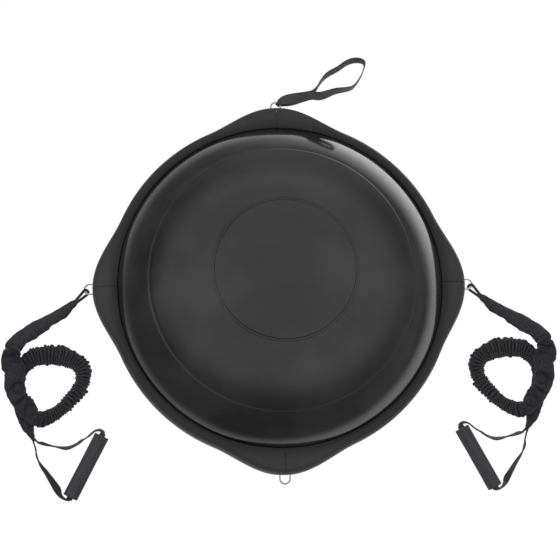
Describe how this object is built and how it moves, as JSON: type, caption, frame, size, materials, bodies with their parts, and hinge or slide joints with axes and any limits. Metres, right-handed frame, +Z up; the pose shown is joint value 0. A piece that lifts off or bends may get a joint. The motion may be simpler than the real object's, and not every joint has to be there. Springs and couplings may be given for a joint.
{
  "type": "balance dome trainer",
  "caption": "Half-ball balance trainer: an air dome clamped in a lobed platform, with steel D-rings, a carry strap and gathered elastic bands with foam handles.",
  "frame": {"origin": "on the floor under the dome's axis", "axes": "+Z up out of the floor, +Y towards the carry strap, +X towards the east band"},
  "size_m": [0.925, 0.7759, 0.195],
  "materials": {
    "foot_rubber": "matt moulded rubber",
    "platform_plastic": "moulded, lightly grained",
    "screw_steel": "zinc plated",
    "dome_vinyl": "glossy soft vinyl",
    "clamp_metal": "black powder coat",
    "rim_plastic": "fine grained, matt",
    "ring_steel": "polished",
    "clip_steel": "pressed sheet",
    "valve_plastic": "natural moulded",
    "strap_webbing": "woven webbing",
    "hitch_braid": "braided cord",
    "band_cloth": "gathered woven sleeve",
    "band_latex": "smooth latex",
    "handle_webbing": "woven webbing",
    "grip_plastic": "extruded tube",
    "grip_foam": "closed-cell foam"
  },
  "bodies": {
    "platform": {"foot_1": "foot_rubber", "foot_2": "foot_rubber", "foot_3": "foot_rubber", "foot_4": "foot_rubber", "foot_5": "foot_rubber", "foot_6": "foot_rubber", "foot_7": "foot_rubber", "foot_8": "foot_rubber", "platform_deck": "platform_plastic", "platform_pan": "platform_plastic", "rib_frame_nw": "platform_plastic", "rib_frame_sw": "platform_plastic", "rib_frame_se": "platform_plastic", "rib_frame_ne": "platform_plastic", "deck_screws": "screw_steel", "dome_shell": "dome_vinyl", "clamp_ring": "clamp_metal", "clamp_screws": "screw_steel", "cover_ne": "rim_plastic", "cover_nw": "rim_plastic", "cover_sw": "rim_plastic", "cover_se": "rim_plastic", "cover_screws": "screw_steel", "ring_clip_n": "clip_steel", "ring_clip_w": "clip_steel", "ring_clip_s": "clip_steel", "ring_clip_e": "clip_steel", "clip_screws": "screw_steel", "valve_body": "valve_plastic"},
    "north_ring": {"ring_n": "ring_steel", "carry_strap": "strap_webbing"},
    "west_ring": {"ring_w": "ring_steel"},
    "south_ring": {"ring_s": "ring_steel"},
    "east_ring": {"ring_e": "ring_steel"},
    "west_band": {"hitch_cord_w": "hitch_braid", "band_neck_w": "band_cloth", "band_sleeve_w": "band_cloth", "band_tube_w": "band_latex", "band_throat_w": "band_cloth", "handle_web_w": "handle_webbing"},
    "east_band": {"hitch_cord_e": "hitch_braid", "band_neck_e": "band_cloth", "band_sleeve_e": "band_cloth", "band_tube_e": "band_latex", "band_throat_e": "band_cloth", "handle_web_e": "handle_webbing"},
    "west_grip": {"grip_core_w": "grip_plastic", "grip_foam_w": "grip_foam"},
    "east_grip": {"grip_core_e": "grip_plastic", "grip_foam_e": "grip_foam"},
    "plug": {"valve_plug": "valve_plastic"}
  },
  "joints": [
    {"name": "north_ring_swing", "type": "hinge", "parent": "platform", "child": "north_ring", "pos_m": [0, 0.314, 0.02], "axis": [1, 0, 0], "range_deg": [0, 40]},
    {"name": "south_ring_swing", "type": "hinge", "parent": "platform", "child": "south_ring", "pos_m": [0, -0.314, 0.02], "axis": [-1, 0, 0], "range_deg": [-65, 40]},
    {"name": "east_ring_swing", "type": "hinge", "parent": "platform", "child": "east_ring", "pos_m": [0.314, 0, 0.02], "axis": [0, -1, 0], "range_deg": [-5, 5]},
    {"name": "west_ring_swing", "type": "hinge", "parent": "platform", "child": "west_ring", "pos_m": [-0.314, 0, 0.02], "axis": [0, 1, 0], "range_deg": [-5, 5]},
    {"name": "west_band_turn", "type": "hinge", "parent": "platform", "child": "west_band", "pos_m": [-0.3256, 0, 0.02], "axis": [0, 0, 1], "range_deg": [-80, 15]},
    {"name": "east_band_turn", "type": "hinge", "parent": "platform", "child": "east_band", "pos_m": [0.3256, 0, 0.02], "axis": [0, 0, -1], "range_deg": [-80, 15]},
    {"name": "west_grip_spin", "type": "hinge", "parent": "west_band", "child": "west_grip", "pos_m": [-0.3296, -0.2975, 0.0128], "axis": [0.4586, 0.8886, 0], "continuous": true},
    {"name": "east_grip_spin", "type": "hinge", "parent": "east_band", "child": "east_grip", "pos_m": [0.3296, -0.2975, 0.0128], "axis": [-0.4586, 0.8886, 0], "continuous": true},
    {"name": "valve_plug_pull", "type": "slide", "parent": "platform", "child": "plug", "axis": [0, 0, -1], "range_m": [0, 0.014]}
  ]
}
